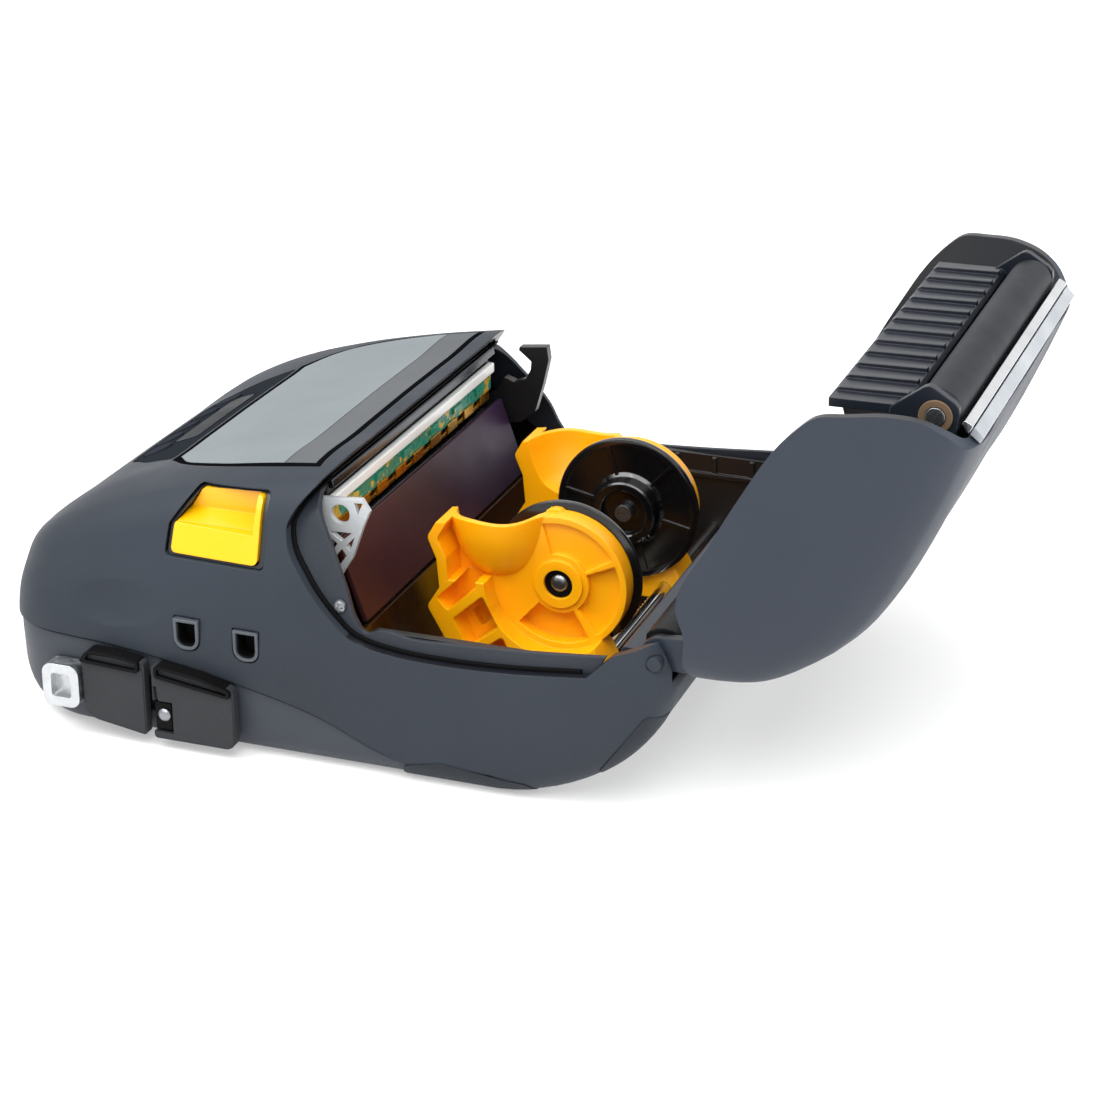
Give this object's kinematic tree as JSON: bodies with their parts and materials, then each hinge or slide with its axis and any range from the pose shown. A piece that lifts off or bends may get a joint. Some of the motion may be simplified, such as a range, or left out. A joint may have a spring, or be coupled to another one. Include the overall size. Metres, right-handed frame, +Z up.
{
  "type": "mobile label maker",
  "caption": "Hand-held label maker with its roll cover swung open, sliding roll guides, print head, platen roller, latch, keypad and rubber port doors.",
  "frame": {"origin": "on the flat underside, on the middle line, 124 mm back from the keypad end", "axes": "+X along the length towards the cover's hinge, +Y across to the far side, +Z up"},
  "size_m": [0.274, 0.1792, 0.1198],
  "materials": {
    "body_slate": "fine grained, dark blue-grey",
    "pan_grey": "fine grained, a shade lighter than the housing",
    "panel_grey": "semi-gloss printed panel, no lettering",
    "black_plastic": "satin black",
    "display_gloss": "gloss window",
    "key_grey": "silicone keys",
    "latch_yellow": "satin bright yellow",
    "door_rubber": "matte black rubber",
    "flange_grey": "satin grey",
    "tub_brown": "dark amber, slightly glossy",
    "bright_steel": "bright",
    "head_ceramic": "glazed white ceramic strip",
    "board_green": "solder-masked board",
    "contact_brass": "gold-plated contacts",
    "film_dark": "glossy purple-black",
    "cast_bracket": "as cast",
    "guide_orange": "satin orange-yellow",
    "gear_natural": "natural acetal",
    "bearing_tan": "filled bearing plastic",
    "platen_rubber": "ground silicone",
    "clear_plastic": "clear strip"
  },
  "bodies": {
    "base": {"base_pan": "pan_grey", "main_housing": "body_slate", "top_panel": "panel_grey", "keypad_bezel": "black_plastic", "display_lens": "display_gloss", "latch_frame": "black_plastic", "belt_slot_1": "black_plastic", "belt_slot_2": "black_plastic", "strap_post_near": "bright_steel", "strap_post_far": "bright_steel", "port_block": "black_plastic", "usb_shell": "bright_steel", "door_anchor": "door_rubber", "anchor_screw": "bright_steel", "side_flange_near": "flange_grey", "side_flange_far": "flange_grey", "flange_screw": "bright_steel", "media_tub": "tub_brown", "bay_wall_near": "black_plastic", "bay_wall_far": "black_plastic", "hinge_barrel": "black_plastic", "rear_rail": "flange_grey", "head_carrier": "black_plastic", "tear_bar": "bright_steel", "print_strip": "head_ceramic", "head_board": "board_green", "contact_comb": "contact_brass", "film_plate": "film_dark", "head_bracket_near": "cast_bracket", "guide_rod_1": "bright_steel", "guide_rod_2": "bright_steel", "hinge_pin_near": "bright_steel", "hinge_pin_far": "bright_steel"},
    "cover": {"cover_shell": "body_slate", "paper_guide": "black_plastic", "platen_bearing_near": "bearing_tan", "platen_bearing_far": "bearing_tan", "peel_bar": "bright_steel", "clear_strip": "clear_plastic"},
    "platen": {"platen_shaft": "bright_steel", "platen_roller": "platen_rubber"},
    "guide_near": {"media_guide_near": "guide_orange", "guide_pin_near": "bright_steel", "guide_rack_near": "gear_natural"},
    "guide_far": {"media_guide_far": "guide_orange", "guide_pin_far": "bright_steel", "guide_rack_far": "gear_natural"},
    "disc_near": {"core_disc_near": "black_plastic"},
    "disc_far": {"core_disc_far": "black_plastic"},
    "pinion": {"guide_pinion": "gear_natural"},
    "latch": {"latch_button": "latch_yellow"},
    "catch": {"latch_shaft": "bright_steel", "catch_hook_far": "black_plastic"},
    "door_left": {"port_door_left": "door_rubber"},
    "door_right": {"port_door_right": "door_rubber"},
    "power_key": {"key_power": "key_grey"},
    "left_key": {"key_left": "key_grey"},
    "select_key": {"key_select": "key_grey"},
    "right_key": {"key_right": "key_grey"},
    "feed_key": {"key_feed": "key_grey"}
  },
  "joints": [
    {"name": "cover_hinge", "type": "hinge", "parent": "base", "child": "cover", "pos_m": [0.074, 0, 0.0442], "axis": [0, -1, 0], "range_deg": [0, 119.6]},
    {"name": "platen_spin", "type": "hinge", "parent": "cover", "child": "platen", "pos_m": [0.13833, 0, 0.11208], "axis": [0, 1, 0], "continuous": true},
    {"name": "near_guide_slide", "type": "slide", "parent": "base", "child": "guide_near", "axis": [0, -1, 0], "range_m": [-0.012, 0.03]},
    {"name": "far_guide_slide", "type": "slide", "parent": "base", "child": "guide_far", "axis": [0, 1, 0], "range_m": [-0.012, 0.03]},
    {"name": "pinion_spin", "type": "hinge", "parent": "base", "child": "pinion", "pos_m": [0.033, 0, 0.012], "axis": [0, 0, 1], "range_deg": [-180, 420]},
    {"name": "near_disc_spin", "type": "hinge", "parent": "guide_near", "child": "disc_near", "pos_m": [0.031, -0.026, 0.0408], "axis": [0, 1, 0], "continuous": true},
    {"name": "far_disc_spin", "type": "hinge", "parent": "guide_far", "child": "disc_far", "pos_m": [0.031, 0.026, 0.0408], "axis": [0, 1, 0], "continuous": true},
    {"name": "latch_press", "type": "slide", "parent": "base", "child": "latch", "axis": [0, 1, 0], "range_m": [0, 0.003], "stiffness_N_per_m": 600},
    {"name": "catch_turn", "type": "hinge", "parent": "base", "child": "catch", "pos_m": [-0.0295, 0, 0.05], "axis": [0, 1, 0], "range_deg": [0, 10]},
    {"name": "left_door_swing", "type": "hinge", "parent": "base", "child": "door_left", "pos_m": [-0.0704, -0.0866, 0.012], "axis": [0, 0, 1], "range_deg": [0, 80]},
    {"name": "right_door_swing", "type": "hinge", "parent": "base", "child": "door_right", "pos_m": [-0.0643, -0.0866, 0.012], "axis": [0, 0, -1], "range_deg": [0, 80]},
    {"name": "power_key_press", "type": "slide", "parent": "base", "child": "power_key", "axis": [0.4104, 0, -0.9119], "range_m": [0, 0.0008], "stiffness_N_per_m": 500},
    {"name": "left_key_press", "type": "slide", "parent": "base", "child": "left_key", "axis": [0.4104, 0, -0.9119], "range_m": [0, 0.0008], "stiffness_N_per_m": 500},
    {"name": "select_key_press", "type": "slide", "parent": "base", "child": "select_key", "axis": [0.4104, 0, -0.9119], "range_m": [0, 0.0008], "stiffness_N_per_m": 500},
    {"name": "right_key_press", "type": "slide", "parent": "base", "child": "right_key", "axis": [0.4104, 0, -0.9119], "range_m": [0, 0.0008], "stiffness_N_per_m": 500},
    {"name": "feed_key_press", "type": "slide", "parent": "base", "child": "feed_key", "axis": [0.4104, 0, -0.9119], "range_m": [0, 0.0008], "stiffness_N_per_m": 500}
  ],
  "couplings": [
    {"joint": "far_guide_slide", "follows": "near_guide_slide", "ratio": 1},
    {"joint": "pinion_spin", "follows": "near_guide_slide", "rad_per_m": 238.09},
    {"joint": "catch_turn", "follows": "latch_press", "rad_per_m": 58.178}
  ]
}
